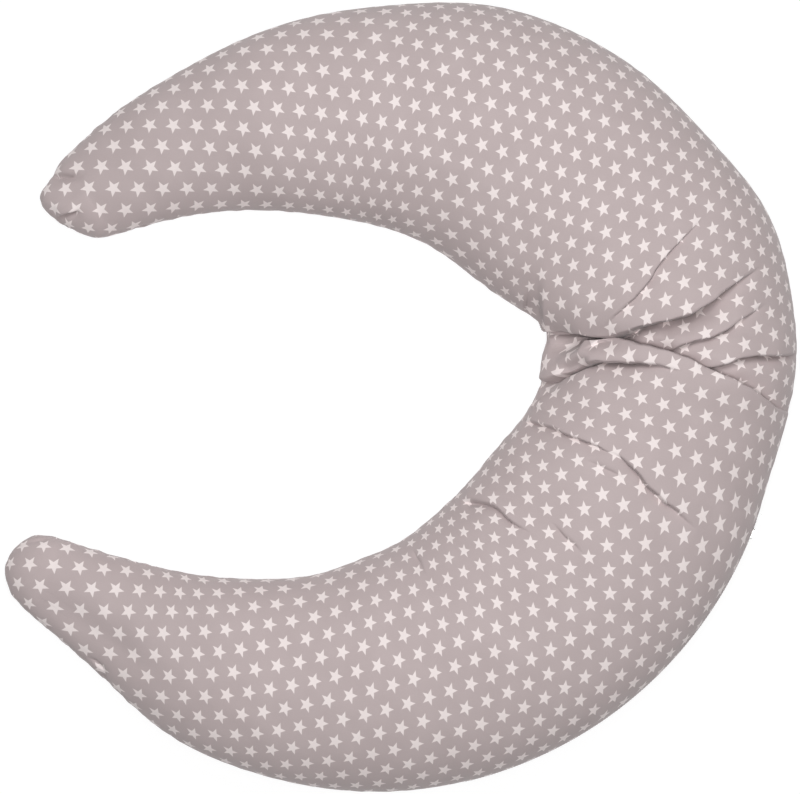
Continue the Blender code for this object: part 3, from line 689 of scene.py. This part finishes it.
class Graph:
    """The nodes of one material, with a Principled shader at their end."""

    def __init__(self, name, colour, roughness, metallic=0.0, **constants):
        self.material = bpy.data.materials.new(name)
        self.material.use_nodes = True
        self.tree = self.material.node_tree
        self.shader = self.tree.nodes["Principled BSDF"]
        self.put("Base Color", (*colour, 1.0))
        self.put("Roughness", roughness)
        self.put("Metallic", metallic)
        for name, value in constants.items():
            self.put(name.replace("_", " "), value)
        self.material.diffuse_color = (*colour, 1.0)

    def put(self, name, value):
        """Set or link one socket of the shader."""
        self.join(self.shader.inputs[name], value)

    def join(self, socket, value):
        """Set or link any socket."""
        if isinstance(value, Value):
            self.tree.links.new(value.socket, socket)
        else:
            socket.default_value = value

    def node(self, kind, settings=None, sockets=None):
        """Any node: its settings are set first, then its sockets get values or links."""
        made = self.tree.nodes.new(kind)
        for name, value in (settings or {}).items():
            setattr(made, name, value)
        for name, value in (sockets or {}).items():
            self.join(made.inputs[name], value)
        return Value(self, made.outputs[0])

    def math(self, operation, *values):
        """One step of arithmetic."""
        return self.node("ShaderNodeMath", {"operation": operation}, dict(enumerate(values)))

    def mix(self, share, first, second):
        """Colour between two others."""
        made = self.node("ShaderNodeMix", {"data_type": "RGBA"}, {0: share, 6: first, 7: second})
        return made.output(2)

    def noise(self, where, scale, detail=2.0):
        """Cloudy noise about one half."""
        return self.node("ShaderNodeTexNoise", {}, {"Vector": where, "Scale": scale, "Detail": detail})

    def between(self, value, low, high):
        """0 at low and 1 at high, smooth between."""
        return self.node("ShaderNodeMapRange", {"interpolation_type": "SMOOTHSTEP"},
                         {"Value": value, "From Min": low, "From Max": high})

    def bump(self, height, distance, strength=1.0, normal=None):
        """Relief from a height, on top of another relief if there is one."""
        sockets = {"Height": height, "Distance": distance, "Strength": strength}
        if normal:
            sockets["Normal"] = normal
        return self.node("ShaderNodeBump", {}, sockets)

    def places(self, uv=None):
        """Where a point lies: on its cloth map, or in the object."""
        if uv:
            return self.node("ShaderNodeUVMap", {"uv_map": uv})
        return self.node("ShaderNodeTexCoord").output("Object")


def star_mask(graph, u, v, du, dv):
    """1 inside the stars of one rectangular lattice that starts at (du, dv).

    A point is folded into one tenth of the star, between a tip and the next waist corner, and
    compared with the straight edge that joins the two.
    """
    wide, high = STAR_PITCH * math.sqrt(3), STAR_PITCH
    across = (u - du) / wide
    up = (v - dv) / high
    across = (across - graph.math("ROUND", across)) * wide
    up = (up - graph.math("ROUND", up)) * high
    reach = graph.math("SQRT", across * across + up * up)
    angle = graph.math("PINGPONG", graph.math("ARCTAN2", across, up), TENTH_OF_TURN)
    x = reach * graph.math("COSINE", angle)
    y = reach * graph.math("SINE", angle)
    waist = STAR_RADIUS * STAR_WAIST
    corner = (waist * math.cos(TENTH_OF_TURN), waist * math.sin(TENTH_OF_TURN))
    size = math.hypot(corner[1], STAR_RADIUS - corner[0])
    outside = (x - STAR_RADIUS) * (corner[1] / size) + y * ((STAR_RADIUS - corner[0]) / size)
    return 1 - graph.between(outside, *STAR_EDGE)


def star_cotton():
    """Greige cotton with a pale five-pointed star print: fine weave, soft mottling, faint sheen."""
    graph = Graph("star_print_cotton", (0.42, 0.36, 0.35), 0.82, Sheen_Weight=0.18,
                  Sheen_Roughness=0.4, Specular_IOR_Level=0.25)
    where = graph.places("cloth")
    u = graph.node("ShaderNodeSeparateXYZ", {}, {0: where})
    v = u.output("Y")
    ragged = (graph.noise(where, 900.0) - 0.5) * STAR_RAGGED
    u, v = u + ragged, v + ragged
    wide, high = STAR_PITCH * math.sqrt(3), STAR_PITCH
    star = graph.math("MAXIMUM", star_mask(graph, u, v, 0.0, 0.0),
                      star_mask(graph, u, v, wide / 2, high / 2))
    thread = 2 * math.pi / THREAD_PITCH
    weave = graph.math("SINE", u * thread) * graph.math("SINE", v * thread)
    mottle = graph.noise(where, 22.0, 3.0)
    grain = graph.noise(where, 700.0, 2.0)
    shade = (mottle - 0.5) * 0.5 + (grain - 0.5) * 0.25 + weave * 0.04
    ground = graph.mix(graph.between(shade, -0.35, 0.35),
                       (0.455, 0.380, 0.380, 1), (0.520, 0.440, 0.440, 1))
    ink = graph.mix(graph.between(shade, -0.35, 0.35), (0.80, 0.71, 0.70, 1), (0.86, 0.78, 0.77, 1))
    graph.put("Base Color", graph.mix(star, ground, ink))
    graph.put("Roughness", 0.84 - star * 0.12)
    lumps = graph.bump(graph.noise(where, 60.0, 3.0), 0.0012, 0.35)
    height = weave * 0.5 + grain * 0.8 + star * 0.5
    graph.put("Normal", graph.bump(height, 0.00010, 0.6, lumps))
    return graph.material


def plain_cotton(name, colour, scale=1500.0):
    """Plain woven cloth on object coordinates."""
    graph = Graph(name, colour, 0.85, Sheen_Weight=0.15, Specular_IOR_Level=0.25)
    where = graph.places()
    grain = graph.noise(where, scale, 2.0)
    wash = graph.noise(where, 18.0, 3.0)
    dark = tuple(c * 0.88 for c in colour)
    graph.put("Base Color", graph.mix(graph.between(wash + grain, 0.7, 1.3), (*dark, 1), (*colour, 1)))
    graph.put("Normal", graph.bump(grain, 0.00012, 0.6))
    return graph.material


def bead_fill():
    """White foam beads a few millimetres across, with painted shade darkening the gaps between them."""
    graph = Graph("bead_fill", (0.88, 0.88, 0.87), 0.75, Specular_IOR_Level=0.3)
    cells = graph.node("ShaderNodeTexVoronoi", {}, {"Vector": graph.places(), "Scale": 280.0})
    # painted shade: the gaps between the white beads are coloured grey
    bead, shaded_gap = (0.9, 0.9, 0.89, 1), (0.62, 0.62, 0.62, 1)
    graph.put("Base Color", graph.mix(graph.between(cells, 0.2, 0.7), bead, shaded_gap))
    graph.put("Normal", graph.bump(1 - cells, 0.0015, 1.0))
    return graph.material


def metal(name, colour):
    """Nickel-plated die casting with fine wear."""
    graph = Graph(name, colour, 0.28, 1.0)
    where = graph.places()
    wear = graph.noise(where, 900.0, 3.0)
    dark = tuple(c * 0.8 for c in colour)
    graph.put("Base Color", graph.mix(graph.between(wear, 0.35, 0.7), (*colour, 1), (*dark, 1)))
    graph.put("Roughness", 0.22 + wear * 0.22)
    graph.put("Normal", graph.bump(wear, 0.00004, 0.5))
    return graph.material


# ---- pieces ----
def soft_piece(name, mesh, material, slot, *nodes):
    """One cushion layer: rides on the pillow and stands for its CAD nodes."""
    piece = put(name, mesh, material)
    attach(piece, "pillow")
    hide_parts(*nodes)
    return piece


def thread_piece(name, mesh, material, slot, *nodes):
    """One thread or coil: rides on the pillow and may stand for CAD nodes."""
    piece = put(name, mesh, material)
    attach(piece, "pillow")
    if nodes:
        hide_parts(*nodes)
    return piece


def make_cover(ring, material):
    """Both sides of the cover, and their shaped rows without the turned-in cloth."""
    shaped = {}
    for side, name in ((1, "cover_top"), (-1, "cover_bottom")):
        rows, _ = ring_rows(ring, side)
        crest = crest_row(ring, side)
        plain, points = sheet_mesh(name + "_plain", ring, rows, crest, side)
        above = cloth_map(ring, TURN_ABOVE, ROWS_ABOVE, side, rows, ORIGIN_ABOVE)
        below = cloth_map(ring, TURN_BELOW, ROWS_BELOW, side, rows, ORIGIN_BELOW)
        left = along_path(points[:, :2], shifted(PRINT_PARTING))[1]
        rib = np.concatenate([np.tile(ring.rib, len(rows)), ring.places])
        parted = (rib > FOLD_PARTS[0]) & (rib < FOLD_PARTS[1])
        is_above = np.where(parted, left < 0, rib < FOLD_RIB)
        places = np.where(is_above[:, None], above, below)
        moved = shape_cover(ring, side, plain, points, len(rows))
        bpy.data.meshes.remove(plain)

        # the cloth turns in over a small round edge and lies flat beside the other side's
        full = moved[:rows.size // 3].reshape(rows.shape)
        crest = moved[rows.size // 3:]
        inward = np.column_stack([-ring.outward, np.zeros(len(ring.rim))])
        deep = (ZIP_HEM + (COVER_ALLOWANCE - ZIP_HEM) * (1 - ring.zip))[:, None]
        hem = np.stack([full[0] + inward * deep,
                        full[0] + inward * TURN_IN_RADIUS - (0, 0, TURN_IN_DROP * side)])
        mesh, points = sheet_mesh(name, ring, np.concatenate([hem, full]), crest, side)
        spokes = len(ring.rim)
        out = places[:spokes] - places[spokes:2 * spokes]
        out /= np.linalg.norm(out, axis=1)[:, None]
        hem_places = [places[:spokes] + out * deep, places[:spokes] + out * TURN_IN_RADIUS]
        write_cloth_map(mesh, np.concatenate(hem_places + [places]))
        soft_piece(name, mesh, material, "star_cotton", name + "_panel")
        shaped[side] = full
    return shaped


def make_inside(materials):
    """Lining and filling: the cover's plain surface moved in, with bell-shaped dents under folds."""
    coarse = Ring(**INSIDE_DENSITY)
    in_valley = np.minimum(folds_at(coarse.rim)[0], 0) * (1 - coarse.zip)
    in_valley = np.minimum(in_valley, np.minimum(np.roll(in_valley, 1), np.roll(in_valley, -1)))
    dents = [Swell(fold.path, -DENT_CLEAR - DENT_SHARE * fold.depth, DENT_WIDTH,
                   fold.start / 2, fold.end / 2) for fold in FOLDS] + [MIDDLE_DENT]
    # name, node, side, depth behind the seam, clearance under the crest or over the base, slot
    layers = [("lining_top", "lining_top_panel", 1, 0.009, 0.007, "lining_cotton"),
              ("lining_bottom", "lining_bottom_panel", -1, 0.009, 0.0014, "lining_cotton"),
              ("filling_top", "filling", 1, 0.012, 0.010, "bead_fill"),
              ("filling_bottom", "filling", -1, 0.012, 0.0024, "bead_fill")]
    for name, node, side, depth, cover, slot in layers:
        rows, share = ring_rows(coarse, side, depth, cover)
        rows[..., :2] += (coarse.outward * in_valley[:, None])[None] * (share ** 3)[:, None, None]
        mesh, points = sheet_mesh(name, coarse, rows, crest_row(coarse, side, cover), side)
        if side > 0:
            dent = sum(swell_height(points[:, :2], dent) for dent in dents)
            set_points(mesh, points + normals(mesh) * np.maximum(dent, -DEEPEST_DENT)[:, None])
        soft_piece(name, mesh, materials[slot], slot, node)


def line_behind(ring, rim, picked, depth):
    """The seam at the picked spokes, moved inward along them."""
    return rim[picked] - np.column_stack([ring.outward[picked], np.zeros(len(picked))]) * depth


def make_seams(ring, shaped, thread):
    """Overlock threads along the turned-in edges, and the lining's closing stitches.

    An overlock is a thread that swings to either side of its line as a sine, one stitch for each
    full wave, and rises as the sine of twice the angle, so that it loops round the cloth's edge.
    """
    rim = (shaped[1][0] + shaped[-1][0]) / 2
    spokes = len(rim)
    in_zip = ring.zip > 0.5
    start = int(np.flatnonzero(in_zip)[-1]) + OVERLOCK_CLEAR
    count = spokes - int(in_zip.sum()) - 2 * OVERLOCK_CLEAR
    sewn = (start + np.arange(count)) % spokes
    closed = np.append(np.arange(spokes), 0)
    for name, node, picked, (depth, swing) in (
            ("cover_overlock", "cover_seam_overlock", sewn, COVER_SEWING),
            ("lining_overlock", "lining_seam_overlock", closed, LINING_SEWING)):
        line = line_behind(ring, rim, picked, depth)
        run = lengths(line)
        steps = int(run[-1] / OVERLOCK_STITCH) * OVERLOCK_STEPS
        at = np.linspace(0, run[-1], steps)
        path = read_line(at, run, line)
        out = np.column_stack([read_line(at, run, ring.outward[picked]), np.zeros(steps)])
        wave = 2 * math.pi * at / OVERLOCK_STITCH
        path += out * (swing * np.sin(wave))[:, None]
        path[:, 2] += OVERLOCK_LOOP * np.sin(2 * wave)
        upright = np.tile([0.0, 0.0, 1.0], (steps, 1))
        thread_piece(name, tube(name, path, upright, SEWING_THREAD, 4), thread, "thread", node)

    # closing stitches: a running thread on the lining's seam at the outer middle
    middle = int(np.argmax(ring.rim[:, 0]))
    picked = np.arange(middle - CLOSING_SPOKES, middle + CLOSING_SPOKES + 1)
    line = line_behind(ring, rim, picked, CLOSING_DEPTH)
    run = lengths(line)
    at = np.linspace(0, run[-1], CLOSING_STEPS)
    path = read_line(at, run, line)
    wave = np.sin(at / CLOSING_STITCH * math.pi)
    path[:, 2] += CLOSING_RISE * np.sign(wave) * np.abs(wave) ** CLOSING_POWER
    tilted = np.tile([0.3, 0.0, 1.0], (CLOSING_STEPS, 1))
    thread_piece("lining_closing_stitches", tube("closing", path, tilted, SEWING_THREAD, 5),
                 thread, "thread", "lining_closure_stitch")


def make_topstitch(ring, shaped, thread):
    """Topstitching beside the zip: a running thread that dips into the cloth between stitches.

    Its height over the cloth is the square root of a sine's size, less a little.
    """
    spokes = np.flatnonzero(ring.zip > 0.02)
    column = np.arange(len(spokes))
    for side, name in ((1, "zip_topstitch_upper"), (-1, "zip_topstitch_lower")):
        rows = shaped[side][:TOPSTITCH_ROWS, spokes]
        arc = np.concatenate([np.zeros((1, len(spokes))), np.cumsum(
            np.linalg.norm(np.diff(rows, axis=0), axis=2), axis=0)])
        level = (arc < TOPSTITCH_FROM_EDGE).sum(axis=0) - 1
        before, after = arc[level, column], arc[level + 1, column]
        share = ((TOPSTITCH_FROM_EDGE - before) / (after - before))[:, None]
        line = rows[level, column] * (1 - share) + rows[level + 1, column] * share
        up = rows[level + 1, column] - rows[level, column]
        out = np.cross(np.gradient(line, axis=0), up) * side
        out /= np.linalg.norm(out, axis=1)[:, None]
        out *= np.sign((out[:, :2] * ring.outward[spokes]).sum(axis=1))[:, None]
        run = lengths(line)
        at = np.linspace(0, run[-1], int(run[-1] / TOPSTITCH) * TOPSTITCH_STEPS)
        path, out = read_line(at, run, line), read_line(at, run, out)
        lift = TOPSTITCH_RISE * np.sqrt(np.abs(np.sin(at / TOPSTITCH * math.pi))) - TOPSTITCH_SINK
        path += out * lift[:, None]
        thread_piece(name, tube(name, path, out, SEWING_THREAD, 6), thread, "thread")


def make_coils(nylon):
    """Coil teeth: each side a helix flattened to an ellipse, the two shifted by half a pitch."""
    centre = ARC_CENTRE + SHIFT
    ends = math.radians(ZIP_MIDDLE) + np.array([1, -1]) * (ZIP_LENGTH / 2 - COIL_START) / ARC_RADIUS
    turns = int((ZIP_LENGTH - 2 * COIL_START) / COIL_PITCH)
    phase = np.linspace(0, 2 * math.pi * turns, turns * COIL_STEPS + 1)
    angle = ends[0] + (ends[1] - ends[0]) * phase / phase[-1]
    for name, side in (("zip_coil_upper", 1), ("zip_coil_lower", -1)):
        swing = phase + (math.pi if side < 0 else 0)
        reach = ARC_RADIUS - COIL_DEPTH + COIL_HALF[0] * np.cos(swing)
        up = SEAM_HEIGHT + side * COIL_MIDDLE + COIL_HALF[1] * np.sin(swing)
        path = np.column_stack([centre[0] + reach * np.cos(angle),
                                centre[1] + reach * np.sin(angle), up])
        spine = np.column_stack([centre[0] + (ARC_RADIUS - COIL_DEPTH) * np.cos(angle),
                                 centre[1] + (ARC_RADIUS - COIL_DEPTH) * np.sin(angle),
                                 np.full(len(angle), SEAM_HEIGHT + side * COIL_MIDDLE)])
        teeth = tube(name, path, path - spine, COIL_THREAD, 5)
        thread_piece(name + "_teeth", teeth, nylon, "zip_coil", name)


# ---- scene ----
def make_stage():
    """White floor and world, two lights, and the camera straight above."""
    floor = bpy.data.meshes.new("floor")
    corners = [(-1, -1), (1, -1), (1, 1), (-1, 1)]
    floor.from_pydata([(x * FLOOR_HALF, y * FLOOR_HALF, -FLOOR_DROP) for x, y in corners],
                      [], [(0, 1, 2, 3)])
    graph = Graph("floor_white", (0.10, 0.10, 0.10), 0.9, Emission_Color=(1, 1, 1, 1),
                  Emission_Strength=0.92)
    put("floor", floor, graph.material)

    scene = bpy.context.scene
    scene.view_settings.view_transform = "Standard"
    world = bpy.data.worlds.new("studio")
    world.use_nodes = True
    world.node_tree.nodes["Background"].inputs["Color"].default_value = (1, 1, 1, 1)
    world.node_tree.nodes["Background"].inputs["Strength"].default_value = 0.08
    scene.world = world

    for name, place, size, power in LIGHTS:
        light = bpy.data.lights.new(name, "AREA")
        light.shape = "DISK"
        light.size, light.energy = size, power
        made = bpy.data.objects.new(name, light)
        made.location = place
        made.rotation_euler = (-Vector(place)).to_track_quat("-Z", "Y").to_euler()
        scene.collection.objects.link(made)

    camera = bpy.data.cameras.new("camera")
    camera.sensor_width = SENSOR_WIDTH
    camera.lens = SENSOR_WIDTH * (CAMERA_HEIGHT - SEAM_HEIGHT) / SEEN_WIDTH
    made = bpy.data.objects.new("camera", camera)
    made.location = (CAMERA_ASIDE + SHIFT[0], SHIFT[1], CAMERA_HEIGHT)
    scene.collection.objects.link(made)
    scene.camera = made


ring = Ring()
shaped = make_cover(ring, star_cotton())
make_inside({"lining_cotton": plain_cotton("lining_cotton", (0.82, 0.81, 0.78)),
             "bead_fill": bead_fill()})
thread = plain_cotton("sewing_thread", (0.56, 0.50, 0.49), 4000.0)
make_seams(ring, shaped, thread)
make_topstitch(ring, shaped, thread)
make_coils(Graph("zip_coil_nylon", (0.47, 0.41, 0.40), 0.35, Coat_Weight=0.2).material)
make_stage()

tape = plain_cotton("zip_tape_cloth", (0.43, 0.37, 0.365), 2500.0)
nickel = metal("zip_nickel", (0.66, 0.65, 0.63))
for node, finish in (("zip_tape_upper", tape), ("zip_tape_lower", tape), ("zip_top_stop_upper", nickel),
                     ("zip_top_stop_lower", nickel), ("zip_bottom_stop", nickel), ("zip_slider", nickel),
                     ("zip_pull_tab", nickel)):
    piece = frame["nodes"][node]
    piece.data.materials.clear()
    piece.data.materials.append(finish)
